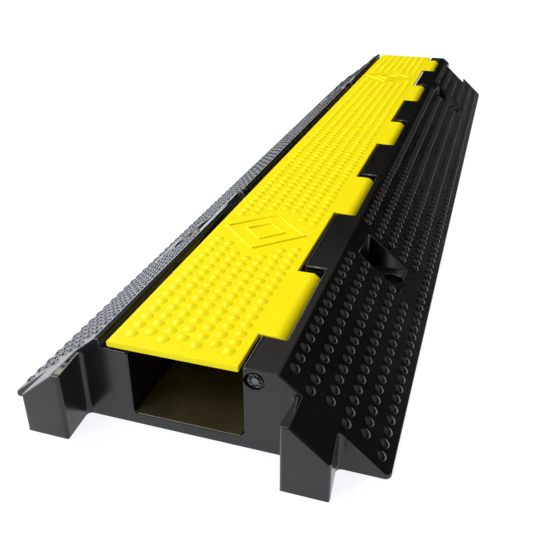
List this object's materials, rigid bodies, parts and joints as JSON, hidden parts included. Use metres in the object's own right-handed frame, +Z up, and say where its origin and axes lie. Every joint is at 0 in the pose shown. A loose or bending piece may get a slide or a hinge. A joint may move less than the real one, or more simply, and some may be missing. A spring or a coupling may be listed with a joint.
{
  "type": "floor cord cover",
  "caption": "Ramped rubber floor cord cover with one cable channel under a hinged, studded plastic lid, dovetail tabs and sockets at its ends, and fixing pockets in the ramps.",
  "frame": {"origin": "on the ground, in the middle of the overall length and width", "axes": "+Z up, +Y along the cable channel from the end with the tabs to the end with the sockets, +X across to the hinge side"},
  "size_m": [0.255, 1, 0.0609],
  "materials": {
    "base_rubber": "moulded, dull satin",
    "lid_plastic": "moulded, satin",
    "rod_steel": "drawn bar",
    "clip_steel": "stamped and plated"
  },
  "bodies": {
    "base": {"rubber_base": "base_rubber", "hinge_rod": "rod_steel", "rod_clip_front": "clip_steel", "rod_clip_back": "clip_steel"},
    "lid": {"lid": "lid_plastic"}
  },
  "joints": [
    {"name": "lid_hinge", "type": "hinge", "parent": "base", "child": "lid", "pos_m": [0.0451, 0, 0.0517], "axis": [0, 1, 0], "range_deg": [0, 90]}
  ]
}
